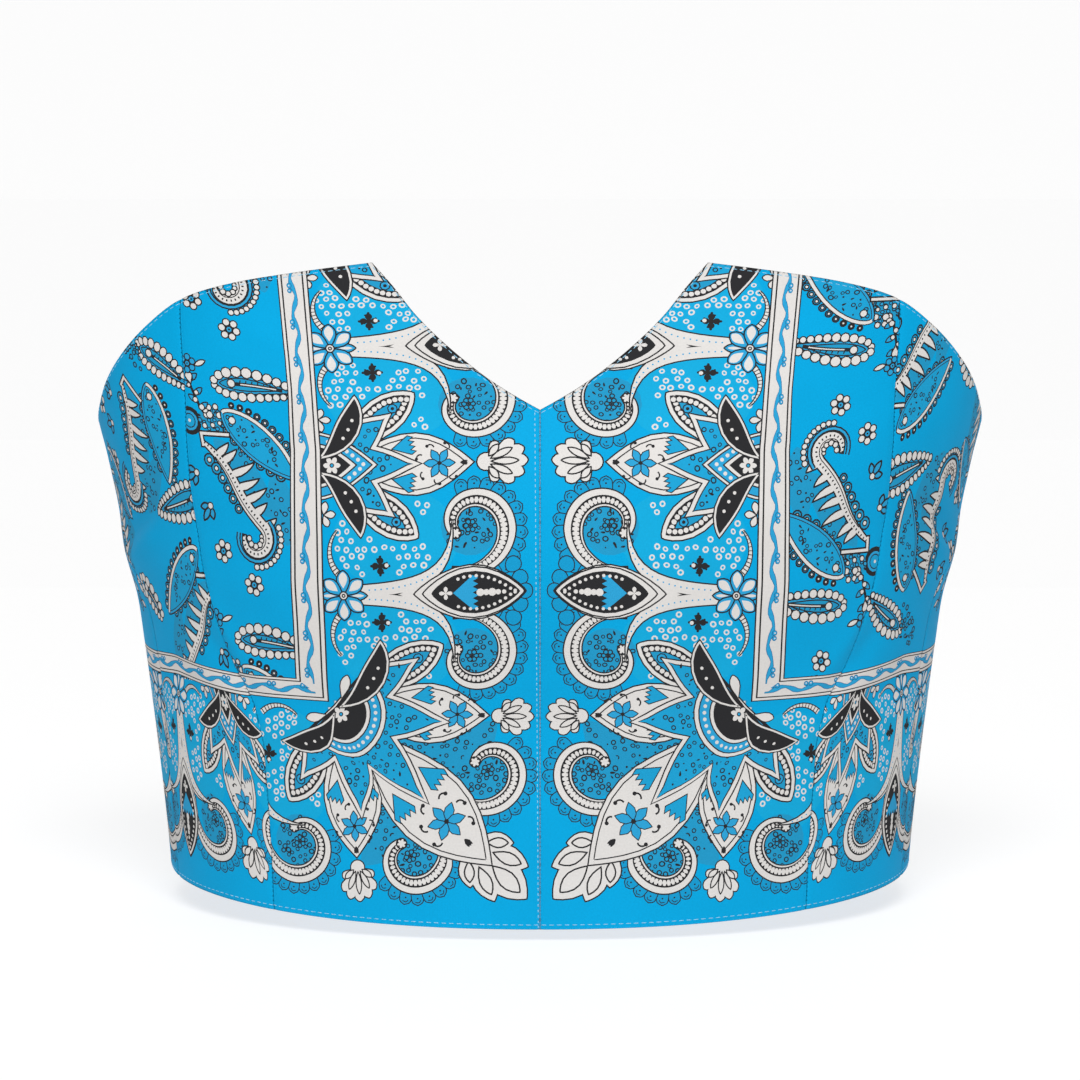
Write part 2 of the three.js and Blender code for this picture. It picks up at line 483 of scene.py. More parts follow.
def lace(path):
    """Scalloped lace: round-ended scales that overlap along the left of a path, thinly outlined, each with
    a dot and a vein."""
    size = np.array([SCALE_LENGTH, SCALE_HALF])
    side = np.array([(0, -1), (0.45, -1.02), (0.82, -0.8), (1, 0)]) * size
    vein = ribbon(through(np.array([(0.66, -0.5), (0.82, -0.2), (0.78, 0.4)]) * size, 3), 0.3)
    scale = np.concatenate([through(stretch, 3)[:-1] for stretch in (side, side[::-1] * (1, -1))])
    dot = spot(SCALE_LENGTH * 0.56, 0, 0.34, 6)
    one = filled("scale", scale, line=0.34) + [("black", dot), ("black", vein)]
    points, degrees, _ = spaced(through(path, 6), SCALE_STEP)
    parts = []
    for at, angle in zip(points, degrees):
        parts += turned(one, angle + 90, at)
    return parts


def shell():
    """White shell: a round cap, and seven blunt lobes fanned from it, with a slot in each but the
    outermost."""
    lobes = [spot(3.2, 0, 3.1, 14)]
    for degrees, length, half in ((0, 14.4, 2.4), (18, 13.8, 2.3), (36, 12.0, 2.2), (58, 8.0, 1.8)):
        for side in (1, -1) if degrees else (1,):
            lobes += [turned(leaf(length, half, 0.78, 0.66, 11), side * degrees, (2.8, 0))]
    parts = filled("white", *lobes)
    for degrees, length in ((50, 5.0), (25, 7.8), (0, 9.0), (-25, 7.8), (-50, 5.0)):
        parts += turned(filled("white", leaf(length, 1.2, 0.55, 0.7) + (2.4, 0), line=0.5), degrees, (2.6, 0))
    return parts


def filigree(region, step, seed, ink="teal", size=0.62, keep=0.8, margin=0.9):
    """Fine penwork on a ground of the given ink: small rings, commas and dots scattered in a region."""
    rng = np.random.default_rng(seed)
    points = net(region, step)
    points += rng.uniform(-0.28, 0.28, points.shape) * step
    points = clear_of(region, points[inside(region, points)], margin)
    parts = []
    for x, y in points[rng.random(len(points)) < keep]:
        kind, scale, angle = rng.random(), rng.uniform(0.8, 1.25) * size, rng.uniform(0, 360)
        if kind < 0.7:
            ring = spot(0, 0, scale * 1.4, 8, rng.uniform(0.8, 1.25))
            parts += turned([("black", ring), (ink, ring * 0.56)], angle, (x, y))
        elif kind < 0.85:
            parts += [("black", turned(leaf(scale * 2.8, scale * 0.6, 0.35, 0.8, 5), angle, (x, y)))]
        else:
            parts += [("black", spot(x, y, scale * 0.6, 5))]
    return parts


def dotted(region, seed, over):
    """Small white rings at uneven, closely hexagonal spacing on a paler ground, clear of the outlines that
    lie over it."""
    step, radius = 3.3, 1.1
    rng = np.random.default_rng(seed)
    points = net(region, step)
    points += rng.uniform(-0.16, 0.16, points.shape) * step
    points = points[inside(region, points)]
    for outline in over:
        points = clear_of(outline, points[~inside(outline, points)], radius + 0.5)
    parts = [("meadow", region)]
    for at in points:
        size, squeeze, angle = radius * rng.uniform(0.88, 1.08), rng.uniform(0.82, 1.1), rng.uniform(0, 180)
        ring = [("white", spot(0, 0, size, 9, squeeze)), ("meadow", spot(0, 0, size * 0.5, 7, squeeze))]
        parts += turned(ring, angle, at)
    return parts


def halves(outline):
    """The two long sides of a leaf's outline, each from its root to its tip."""
    tip = len(outline) // 2
    return outline[: tip + 1], np.concatenate([outline[:1], outline[:tip:-1], outline[tip : tip + 1]])


def tendril(size, degrees, at):
    """Small hook that ends in a ball."""
    path = turned(bent(np.stack([np.linspace(0, size, 6), np.zeros(6)], -1), 130, size), degrees, at)
    return [("black", ribbon(path, 0.17 * size)), ("black", spot(*path[-1], 0.21 * size, 6))]


def shaded(region, step, seed, ink, keep, margin):
    """Shaded ground with penwork."""
    return [("haze", region)] + filigree(region, step, seed, ink, keep=keep, margin=margin)


def beaded_petal(length, half):
    """White petal along x: shaded inside, with a row of beads along each side and a small flower."""
    rim = leaf(length, half, 0.68, 0.72, 14)
    parts = filled("white", rim) + filled("haze", grown(rim, -1.7), line=0.4)
    for row in halves(grown(rim, -3.0)):
        parts += [("black", ribbon(row[6:-1], 2.4)), *beads(row[6:-1], 1.95, 0.92)]
    eye = 0.78 * length
    parts += filled("vine", spot(eye, 0, 0.24 * half, 8), line=0.4)
    return parts + [("black", spot(eye, 0, 0.1 * half, 6))]


def flower_petal(length, half, bloom):
    """White petal along x with a second line in it, jagged blue wedges, a blue flower at the share bloom,
    and tendrils."""
    rim = leaf(length, half, 0.62, 1.0, 18)
    parts = filled("white", rim) + filled("white", grown(rim, -1.8), line=0.42)
    middle, size = bloom * length, 0.5 * half
    wedge = jagged(1.5 * size, 0.62 * size)
    for side in (1, -1):
        root = (middle - 3.0 * size, 0.48 * half * side)
        parts += filled("teal", turned(wedge, 12 * side, root), line=0.36)
    parts += whorl(filled("vine", leaf(size, 0.27 * size, 0.5, 1.0, 6), line=0.34), 6, (middle, 0))
    parts += [("black", spot(middle, 0, 0.14 * size, 6))]
    for degrees in (60, 105, 150, 210, 255, 300):
        x, y = arc((middle, 0), 1.25 * size, degrees, degrees, 1)[0]
        parts += tendril(0.55 * size, degrees, (x, 0.85 * y))
    dart = leaf(0.5 * size, 0.1 * size, 0.5, 0.8, 5)
    return parts + [("black", turned(dart, side * 14, (middle + 1.3 * size, 0))) for side in (1, 0, -1)]


def black_leaf(length, half, curve):
    """Black leaf along x, bent, with a fine white edge and three white dots."""
    blade = bent(leaf(length, half, 0.56, 0.85, 14), curve, length)
    parts = [("black", grown(blade, 0.55)), ("white", grown(blade, 0.1)), ("black", grown(blade, -0.55))]
    dots = bent(np.array([(share * length, -0.1 * half) for share in (0.42, 0.55, 0.68)]), curve, length)
    return parts + [("white", spot(x, y, 0.62, 7)) for x, y in dots]


def ranks(radii, shape):
    """Ranks round a flower's heart, from the outermost in: white, blue with white dots, white, and black."""
    parts = []
    for radius, ink in zip(radii, ("white", "vine", "white", "black")):
        parts += filled(ink, shape(radius), line=0.46)
        if ink == "vine":
            parts += beads(shape(0.5 * (radius + radii[2]))[2:-2], 2.4, 0.72)
    eye = 0.42 * radii[3]
    parts += whorl([("white", leaf(3.1, 0.9, 0.62, 0.65, 7))], 6, (eye, 0))
    return parts + [("black", spot(eye, 0, 0.85, 8)), ("vine", spot(eye, 0, 0.5, 6))]


def star_field(field, step, seed):
    """Star behind a flower's ranks: a white edge round blue ground with penwork."""
    ground = grown(field, -1.7)
    return filled("white", field) + filled("teal", ground, line=0.42) + filigree(ground, step, seed, keep=0.9)


def lotus():
    """Half lotus that grows from the frame: two beaded petals, a large one, a star and the ranks, and
    black leaves."""
    parts = pair(turned(beaded_petal(42, 6.6), 36)) + flower_petal(53, 10.6, 0.78)
    parts += star_field(star(35.5, 0.11, 0.36, 34, 1), 2.9, 41)
    parts += ranks((20.5, 18.6, 13.2, 10.8), lambda radius: dome(radius, 0.56 * radius))
    return parts + pair(turned(black_leaf(27, 4.0, 62), 26, (0, 2.4)))


def sprig(path):
    """Thin tapering twig of white beads between two black lines."""
    width = np.linspace(2.3, 0.6, len(path))
    parts = [("black", ribbon(path, width + 0.4)), ("white", ribbon(path, np.maximum(width - 0.4, 0.1)))]
    points, degrees, share = spaced(path, 1.35)
    for (x, y), angle, s in zip(points, degrees, share):
        bar = np.array([(-0.2, -0.9), (0.2, -0.9), (0.2, 0.9), (-0.2, 0.9)]) * (1 - 0.6 * s)
        parts += [("black", turned(bar, angle, (x, y)))]
    return parts


def butterfly():
    """White mark of three wings."""
    wings = (4.6, 78), (4.4, 4), (4.2, -68)
    wings = [turned(leaf(length, 1.3, 0.62, 0.7, 8), degrees) for length, degrees in wings]
    return filled("white", *wings, line=0.42)


def scroll(middle, radii, first, last, seed):
    """Spiral tube round a middle, over a shaded pocket with penwork and a small flower, with lace round
    its outside."""
    reach = lambda degrees: radii[0] + (radii[1] - radii[0]) * degrees / (last - first) + 1.6
    parts = lace(arc(middle, (reach(225), reach(45)), first + 225, first + 45, 22))
    parts += [("haze", spot(*middle, 0.64 * radii[0], 18))]
    parts += filigree(spot(*middle, 0.6 * radii[0], 14), 2.5, seed, "haze", keep=0.9, margin=0.2)
    parts += curl(arc(middle, radii, first, last, 16), [1.4, 5.0, 6.4, 6.4, 5.8, 4.8, 3.6])
    parts += whorl(filled("haze", spot(1.45, 0, 0.85, 7), line=0.42), 6, middle)
    return parts + [("black", spot(*middle, 0.5, 6))]


def half_repeat(seed, marked=True):
    """All that lies between a stem's axis, at y 0, and the next lotus's axis, with or without its mark."""
    neighbours = stem() + placed(lotus(), (0, HALF_REPEAT))
    over = [part for ink, part in neighbours if ink == "black" and np.ptp(part[:, 0]) > 8]
    over += [spot(*CLOVER_AT, 4.0), spot(*SCROLL_AT, 14.0, 16)]
    meadow = leaf(44, 17.5, 0.5, 0.5, 13) + (4, 18.8)
    parts = dotted(meadow, seed, over) + turned(clover(), 0, CLOVER_AT)
    parts += scroll(SCROLL_AT, (15.5, 5.5), -115, 205, seed + 5) + sprig(arc((13, 14.5), 10.4, 225, 135))
    return parts + (turned(butterfly(), 0, (0.9, HALF_REPEAT - 16.6)) if marked else [])


# Frame of the print: a white band between double lines with a blue vine winding in it, mitred at the corner.
def vine(length):
    """Vine along +x: a winding ribbon of uneven width, with a pair of small curls every pitch."""
    wave, pitch, start = 0.95, 13.6, 4.0
    x = np.linspace(0, length, max(int(length / 1.6), 8))
    path = np.stack([x, wave * np.sin(2 * math.pi * (x - start) / pitch) - 0.3], -1)
    width = 1.3 + 0.5 * np.sin(2 * math.pi * (x - start) / (pitch / 2) + 0.8)
    width *= np.clip(np.minimum(x, length - x) / 3.0, 0.25, 1)
    parts = [("deep", ribbon(path, width + 0.3)), ("vine", ribbon(path, width - 0.1))]
    for place in np.arange(start, length - 3, pitch):
        for dx, radius in ((-1.0, 0.85), (0.95, 0.95)):
            parts += [("deep", spot(place + dx, 1.15, radius + 0.12, 9))]
            parts += [("vine", spot(place + dx, 1.15, radius - 0.12, 9))]
            parts += [("white", spot(place + dx, 1.3, 0.34 * radius, 6))]
    return parts


def frame_band(length, width, mitre):
    """Straight band along +x from a mitred end, with its outer edge on y 0 and its inner edge on y width."""
    parts = []
    stripes = ((0.0, 1.0, "black"), (0.045, 0.145, "white"), (0.195, 0.83, "white"), (0.88, 0.96, "white"))
    for low, high, ink in stripes:
        y0, y1 = low * width, high * width
        parts += [(ink, np.array([(mitre * y0, y0), (length, y0), (length, y1), (mitre * y1, y1)]))]
    return parts + turned(vine(length - 3.2), 0, (2.6 + 0.3 * width, 0.53 * width))


BAND_WIDE = 12.6  # of the frame's upright sides
BAND_LOW = 8.1  # of its level sides, where the cloth is taken in under the bust
FRAME_FOOT = 77.7  # height of the frame's outer corner above the lowest hem


def frame_corner():
    """The upright side from the corner up and the level side away from it. x 0 is the frame's outer edge."""
    mitre = BAND_LOW / BAND_WIDE
    upright = []
    for ink, part in turned(frame_band(160, BAND_WIDE, mitre), 90, (0, FRAME_FOOT)):
        part = stepped(part, 3.0)
        # Over the bust the band is eased in: both edges lie nearer to centre front, and the inner one more so
        outer = np.interp(part[:, 1], [120, 205, 245], [0, 1.7, 2.2])
        inner = np.interp(part[:, 1], [120, 141, 169, 186, 245], [0, 0.9, 2.4, 3.7, 4.6])
        upright += [(ink, part + np.stack([outer - (inner - outer) * part[:, 0] / BAND_WIDE, 0 * outer], -1))]
    return placed(frame_band(80, BAND_LOW, 1 / mitre), (0, FRAME_FOOT), (-1, 1)) + upright


# Border in the corner: a lotus set on the diagonal with a large petal and a palmette, drawn from the corner
# outwards.
def taken_in(drawing):
    """Corner drawing eased below its diagonal, where the panel is taken in under the bust: forwards and
    up."""
    eased = []
    for ink, part in drawing:
        across, down = part.T
        below = np.clip((down - across) / 24, 0, 1)
        share = below**2 * (3 - 2 * below) * np.clip(down / 24, 0, 1)
        eased += [(ink, part + np.stack([4.6 * share, (0.15 * np.minimum(across, 0) - 2.5) * share], -1))]
    return eased


def corner_lotus():
    """Motif in (across, down) from the frame's outer corner. It is drawn along x, and then turned to the
    diagonal."""
    ground = np.concatenate([arc((0, 0), 59, -40, 40, 18), [(20, 0)]])
    pockets = shaded(ground, 3.0, 61, "haze", 0.85, 1.2)
    pockets += pair(scroll((55.5, 22.5), (15.5, 5.4), -130, 190, 77))
    # Palmette past the long petal: five pointed lobes with slots
    lobes = ((0, 29, 6.2), (-21, 23, 4.6), (21, 23, 4.6), (-42, 16, 3.8), (42, 16, 3.8))
    palmette_at = (68, 0)
    blades = [turned(leaf(length, half, 0.62, 0.85, 12), angle, palmette_at) for angle, length, half in lobes]
    long_petal = filled("white", *blades)
    for angle, length, half in lobes:
        slot = leaf(0.46 * length, 0.46 * half, 0.55, 0.8, 9) + (0.42 * length, 0)
        long_petal += turned(filled("white", slot, line=0.55), angle, palmette_at)
    long_petal += flower_petal(80, 13.6, 0.72)
    parts = []
    for side in (-1, 1):
        parts += turned(beaded_petal(46, 7.2), 74 * side) + turned(flower_petal(56, 10.8, 0.8), 41 * side)
        parts += turned(turned(shell(), at=(56.5, 0), size=0.86), 41 * side)
    # The star, the ranks round the black heart, the two black leaves, and a drop behind each
    parts += star_field(star(49, 0.17, 0.42, 37, 2), 3.1, 93)
    fan = lambda radius: np.concatenate([arc((3.5, 0), radius, -104, 104, 20), [(1.0, 0)]])
    parts += ranks((17.2, 15.4, 11.4, 9.8), fan)
    drop = turned(filled("white", leaf(9.5, 1.9, 0.65, 0.7), line=0.42), 118, (0.5, 4.0))
    parts += pair(drop + turned(black_leaf(31, 4.4, 72), 66, (2, 1.5)))
    pockets, long_petal, parts = (turned(drawing, 45, (1.5, 1.5)) for drawing in (pockets, long_petal, parts))
    return taken_in(pockets) + long_petal + taken_in(parts)


def border():
    """The front panel's border: stems and lotuses up beside centre front, the corner, and the run along
    the hem."""
    stem_low, lotus_mid, stem_high, lotus_top = 116.7, 160.3, 202.0, 243.6
    hem_axis = -34.5
    ground = np.array([(-60, -10), (90, -10), (90, 240), (0, 240), (0, FRAME_FOOT), (-60, FRAME_FOOT)])
    level = lambda drawing: [(ink, part[:, ::-1]) for ink, part in drawing]
    along_hem = lambda drawing: placed(level(drawing), (hem_axis, FRAME_FOOT), (1, -0.97))
    parts = [("sky", ground)] + along_hem(half_repeat(8, False))
    parts += placed(half_repeat(6, False), (0, stem_low), (1, -1))
    parts += placed(corner_lotus(), (0, FRAME_FOOT), (1, -1))
    for axis, stretch, seed in ((stem_low, 1.0, 3), (stem_high, -0.957, 4), (stem_high, 0.955, 5)):
        parts += placed(half_repeat(seed), (0, axis), (1, stretch))
    for axis in (lotus_mid, lotus_top):
        parts += turned(shell(), 0, (SHELL_AT, axis)) + turned(lotus(), 0, (0, axis))
    tip_lace = []
    scale = filled("scale", leaf(5.6, 2.7, 0.56, 0.42, 9), line=0.36)
    for y, degrees in ((7.0, 50), (-7.0, -50), (3.4, 24), (-3.4, -24), (0, 0)):
        tip_lace += turned(scale, degrees, (66.6 - abs(y) * 0.4, y))
    for axis in (stem_low, stem_high):
        parts += turned(tip_lace + stem(), 0, (0, axis)) + turned(frame_flower(), 0, (FLOWER_AT, axis - 0.3))
    return parts + along_hem(stem())


# Field of the print: comb-toothed paisleys, beaded drops and sprays on the open ground, one set every 89.4
# mm.
FIELD_REPEAT = 89.4
FIELD_MIDDLE = 149.5  # height about which the right half's field is turned upside down


def pearl(x, y, radius, ink="white", tall=1.0, angle=0):
    """Bead with its own black outline, round or drawn out tall across the given direction."""
    bead = [("black", spot(0, 0, radius + 0.48, 9, (tall * radius + 0.48) / (radius + 0.48)))]
    return turned(bead + [(ink, spot(0, 0, radius, 9, tall))], angle, (x, y))


def pearls(path, sizes, ink="white", tall=1.0):
    """Beads along a path that touch each other, their radii read off the list of sizes."""
    path = through(path, 8)
    lengths = lengths_along(path)
    run = np.gradient(path, axis=0)
    parts, at = [], sizes[0]
    while at < lengths[-1]:
        radius = np.interp(at / lengths[-1], np.linspace(0, 1, len(sizes)), sizes)
        x, y, dx, dy = (np.interp(at, lengths, column) for column in (*path.T, *run.T))
        parts += pearl(x, y, radius, ink, tall, math.degrees(math.atan2(dy, dx)))
        at += 2 * radius + 0.3
    return parts


def bead_drop(length=26.0, half=2.8, toothed=1.0):
    """Drop along x, bent a little: a lined blue leaf between two rows of touching beads that shrink to its
    tip."""
    bend = lambda outline: outline - np.stack([0 * outline[:, 0], 2.4 * (outline[:, 0] / length) ** 2], -1)
    blade = leaf(length, half, 0.36, 0.9, 14)
    layers = (("black", 0.9), ("vine", 0.2), ("black", -0.35), ("haze", -0.8))
    parts = [(ink, bend(grown(blade, by))) for ink, by in layers]
    rib = bend(np.stack([np.linspace(0.25, 0.92, 9) * length, np.zeros(9)], -1))
    parts += [("black", ribbon(rib, 1.4)), ("white", ribbon(rib[1:-1], 0.45))]
    for x, y in rib[1:-1]:
        parts += [("black", turned(spot(0, 0, 0.26, 5, 3.0), -20, (x, y + 1.0)))]
    parts += pearl(0.2 * length, 0, 1.3)
    sizes = np.array([(1.0, 1.5, 1.5, 1.2, 0.8), (1.2, 1.8, 1.8, 1.5, 1.2)]) / toothed
    for side, radii in zip(halves(bend(grown(blade, 1.7))), sizes):
        parts += pearls(side, radii, tall=toothed)
    return parts


def blossom(radius=2.6, petals=5, ink="white"):
    """Small dark flower: a black disc, bead petals round it and a ringed eye."""
    parts = [("black", spot(0, 0, radius * 1.15, 12))]
    parts += whorl(pearl(radius, 0, 0.42 * radius, ink), petals, first=20)
    return parts + [("vine", spot(0, 0, 0.36 * radius, 7)), ("black", spot(0, 0, 0.16 * radius, 5))]


def spray():
    """Three small leaves fanned from a bead, dark with a blue middle."""
    parts = []
    for degrees, length in ((-48, 4.6), (48, 4.6), (0, 6.2)):
        parts += filled("vine", turned(leaf(length, 1.25, 0.55, 0.8, 8), degrees), line=0.7)
    return parts + pearl(0, 0, 1.0)


def scattered(region, step, seed, small, large):
    """Beads of uneven size strewn over a region on a loose grid."""
    rng = np.random.default_rng(seed)
    points = net(region, step, rise=1.0, stagger=0.0)
    points += rng.uniform(-0.3, 0.3, points.shape) * step
    parts = []
    for x, y in points[inside(region, points)]:
        parts += pearl(x, y, rng.uniform(small, large))
    return parts


def trim(path, step, first, last):
    """Loops along a path, from the first radius to the last, each a dark ring round a shaded ground and a
    bead."""
    parts = []
    points, _, share = spaced(path, step)
    for (x, y), radius in zip(points, first + (last - first) * share):
        parts += [("black", spot(x, y, radius + 0.3, 10)), ("haze", spot(x, y, radius - 0.3, 9))]
        parts += pearl(x, y, 0.32 * radius)
    return parts


# Teeth of the comb, the radius of the hook that its body ends in, and the bar at its corner, in mm
COMB_TEETH, COMB_HOOK, COMB_BAR = 7, 5.6, 12.0


def comb_leaf():
    """Leaf over the paisley: lined blue, with penwork inside, a white line along its upper side, and loops
    on both sides."""
    root, lean = (10.0, 8.4), -40
    blade = turned(leaf(36, 6.4, 0.42, 0.72, 16), lean, root)
    under, upper = halves(blade)
    parts = trim(grown(blade, 1.5)[-2 : len(blade) // 2 + 1 : -1], 3.4, 1.0, 1.6)
    parts += trim(under[3:-3], 4.2, 1.5, 1.8)
    for ink, by in (("black", 0.3), ("vine", -0.2), ("black", -0.9), ("teal", -1.2)):
        parts += [(ink, grown(blade, by))]
    parts += filigree(grown(blade, -1.6), 2.6, 23, keep=0.9, margin=0.6)
    parts += turned(pearl(5.0, 0, 1.2), lean, root)
    return parts + [("black", ribbon(upper[:-1], 1.9, -0.5)), ("white", ribbon(upper[:-1], 1.1, -0.5))]


def comb_paisley():
    """Paisley: a body that swings down in an s and ends in a hook, comb teeth on one side of it, and a
    leaf above."""
    # The middle of the body: a slanting line with a sine's swing, then most of a circle
    share = np.linspace(0, 1, 14)
    slope = np.stack([23.0 * share**0.9 + 1.2 * np.sin(2 * math.pi * share), -3.0 - 28.0 * share], -1)
    centre = slope[-1] - turned(np.array([(COMB_HOOK, 0)]), 45)[0]
    hook = arc(centre, (COMB_HOOK, 0.8 * COMB_HOOK), 45, -195, 15)
    spine = np.concatenate([slope, hook[1:]])
    width = 1.6 + 2.6 * np.sin(math.pi * np.clip(np.linspace(0, 1, len(spine)) * 1.05, 0, 1)) ** 0.6
    normal = sideways(spine)
    # Loops along its back, ground between the teeth and the frame, the leaf, and ground under the teeth
    parts = trim((spine - normal * 3.6)[1:11], 3.9, 2.3, 1.5)
    parts += shaded(turned(leaf(26, 5.0, 0.5, 0.6, 12), -82, (28.5, -11.0)), 3.0, 31, "vine", 0.9, 0.3)
    parts += comb_leaf()
    parts += shaded(turned(leaf(34, 6.4, 0.5, 0.7, 12), -50, (5.0, -1.5)), 3.9, 47, "haze", 0.85, 0.5)
    # Body with its corner and teeth as one white shape; the teeth are longest in the middle of the row
    corner_bars = ((COMB_BAR, 0), (0, 0)), ((0, 0.8), (0, -0.4 * COMB_BAR))
    shapes = [ribbon(spine, width), *[ribbon(bar, 1.6) for bar in corner_bars]]
    for number in range(COMB_TEETH):
        at = 2 + int(1.9 * number)
        reach = 4.5 + 6.4 * math.sin(math.pi * (number + 0.7) / COMB_TEETH) + 0.8 * (-1) ** number
        away = math.degrees(math.atan2(normal[at, 1], normal[at, 0]))
        shapes += [turned(bent(leaf(reach, 1.5, 0.3, 0.7, 8), 28, reach), away - 22, spine[at])]
    parts += filled("white", *shapes, line=0.6) + [("black", ribbon((spine - normal * 0.9)[2:-3], 0.36))]
    for at, degrees, _ in zip(*spaced(spine + normal * 0.3, 1.6)):
        parts += [("black", turned(spot(0, 0, 0.34, 5, 1.6), degrees, at))]
    # Beads inside the hook, a dark rib with beads round its outside, and flowers and sprays past it
    around = lambda size: centre + (hook - centre) * size
    parts += pearls(around(0.52)[1:], [0.5, 0.8, 0.9, 0.8])
    parts += [("black", ribbon(around(1.55), 1.9)), ("vine", ribbon(around(1.55), 0.8))]
    parts += pearls(around(1.95)[1:9], [0.9, 0.8, 0.9])
    for degrees, away in ((200, 15.0), (265, 16.0)):
        parts += turned(blossom(2.7, 6), degrees, arc(centre, away, degrees, degrees, 1)[0])
    return parts + turned(spray(), 205, (-4.5, -14.0)) + turned(spray(), 235, (0.5, -25.0))


DISC_AT = (-4.2, 4.3)  # middle of the bud cluster's ringed disc


def bud_cluster():
    """What joins one paisley to the next: a ringed black disc, beads on shaded ground, and a flower on a
    stem."""
    parts = [("black", spot(*DISC_AT, 5.2, 16))]
    for ink, radius in (("vine", 3.6), ("black", 2.7), ("teal", 2.3), ("white", 0.6)):
        parts += [(ink, spot(*DISC_AT, radius, 14))]
    ground = leaf(12, 5.0, 0.5, 0.5, 10) + (0, 5.2)
    parts += shaded(ground, 2.3, 17, "vine", 0.9, 0.1) + scattered(ground, 2.9, 12, 0.5, 1.2)
    stalk = np.stack([1.3 * np.cos(np.linspace(0, 3.2, 9)), np.linspace(8.6, 19.0, 9)], -1)
    parts += [("black", ribbon(stalk, 1.1))]
    for number, (x, y) in enumerate(stalk[::2]):
        side = (-1) ** number
        parts += filled("vine", turned(leaf(4.4, 1.1, 0.5, 0.8, 7), 90 - side * 55, (x, y)), line=0.5)
        parts += pearl(x + side * 0.9, y + 0.8, 0.95 - 0.1 * number)
    parts += filled("white", turned(leaf(4.6, 1.7, 0.7, 0.6, 8), 100, (-0.8, 17.6)), line=0.55)
    parts += turned(blossom(2.4, 6, ink="vine"), 0, (-1.0, 25.2))
    return parts + filled("white", turned(leaf(5.0, 1.0, 0.5, 0.7), 22, (2.0, 24.6)), line=0.5)


def field_set():
    """One repeat of the field: the comb paisley, the beaded drop above it, and the cluster that joins
    them."""
    return turned(bead_drop(), 0, (10.4, 18.6)) + bud_cluster() + comb_paisley()


# Where a drawing lies on the form. On the front and side panels x 74.6 is centre front and x falls round
# the body; on the back panels x 0 is centre back and x grows towards the side seam. y is the cloth's length
# up from the hem.
CENTRE_X = 74.6
PRINT_RISE = 0.045  # how much the print rises for each mm from the frame towards centre front
EASE = np.array([(-170, 1.03), (-92, 1.03), (-7, 1.0), (50, 0.92)])  # the print is eased in over the bust


def front_flat(turn, height):
    """Drawing place of a point of the front or side: length round times the ease, and length up."""
    x = CENTRE_X - length_round(turn, height) * np.interp(height, *EASE.T)
    return np.stack([x, np.interp(height, height_steps, rise_lengths) - PRINT_RISE * np.maximum(x, 0)], -1)


def front_form(flat):
    """Turn and height of a drawing place: the reverse of front_flat."""
    height = np.interp(flat[:, 1] + PRINT_RISE * np.maximum(flat[:, 0], 0), rise_lengths, height_steps)
    return turn_at_length((CENTRE_X - flat[:, 0]) / np.interp(height, *EASE.T), height), height


def back_flat(turn, height):
    """Drawing place of a point of the back: length round from centre back, and length up."""
    x = length_round(np.full(np.shape(turn), 180.0), height) - length_round(turn, height)
    return np.stack([x, np.interp(height, height_steps, rise_lengths)], -1)


def back_form(flat):
    """Turn and height of a drawing place: the reverse of back_flat."""
    height = np.interp(flat[:, 1], rise_lengths, height_steps)
    return turn_at_length(length_round(np.full(len(flat), 180.0), height) - flat[:, 0], height), height


# Creases of the worn cloth, as soft troughs and ridges, listed from (round, height) to (round,
# height). Round is the length from centre front, in mm. They gather at the princess seams, where the bust
# is taken in.
CREASES = (  # round, height, round, height, half width, depth
    (96, -96, 128, -70, 5.0, -0.9),
    (100, -88, 124, -58, 4.0, 0.6),
    (118, -100, 150, -84, 6.0, -1.0),
    (92, -108, 116, -112, 5.0, -0.6),
    (150, -30, 178, -44, 4.5, -1.6),
    (150, -40, 180, -52, 5.0, 1.1),
    (86, 22, 112, 30, 2.6, -0.35),
    (60, -96, 92, -92, 7.0, -0.6),
    (20, -120, 70, -112, 10.0, -0.5),
    (14, -60, 44, -74, 9.0, -0.45),
)


def relief(round_by, height):
    """Sum of the creases: depth times a bell curve of the distance from each line, faded out past its
    middle."""
    total = 0 * round_by
    for l0, z0, l1, z1, half_width, depth in CREASES:
        long = math.hypot(l1 - l0, z1 - z0)
        share = ((round_by - l0) * (l1 - l0) + (height - z0) * (z1 - z0)) / long**2
        off = ((round_by - l0) * (z1 - z0) - (height - z0) * (l1 - l0)) / long
        total = total + depth * np.exp(-((off / half_width) ** 2) - (1.7 * (share - 0.5)) ** 4)
    return total


# Front panels: printed cotton sateen, cut from the centre-front seam to the princess seam, with the print's
# corner on the bust point. The neckline and hem are turned under and topstitched, and all edges are seamed
# in.
SEAM_DIP = 0.28  # how far the cloth falls into a seam
WALL = 1.2  # cloth with its turnings


def edges_of(near, far, flatten, shares):
    """Near seam, top edge, far seam and hem of a panel as drawing places, solved where the seams meet the
    edges."""
    seams = lambda share, height: (1 - share) * along(near, 1, height) + share * along(far, 1, height)
    ends = []
    for edge in (hem_height, top_height):
        height = edge(seams(shares, 0 * shares))
        for _ in range(30):
            height = 0.3 * height + 0.7 * edge(seams(shares, height))
        ends += [height]
    low, high = ends
    rises = np.linspace(0, 1, 130)
    lines = [flatten(seams(shares, height), height) for height in (high, low)]
    for column in (0, -1):
        height = low[column] + (high[column] - low[column]) * rises
        lines += [flatten(seams(shares[column], height), height)]
    top, hem, near_line, far_line = lines
    return near_line, top, far_line, hem


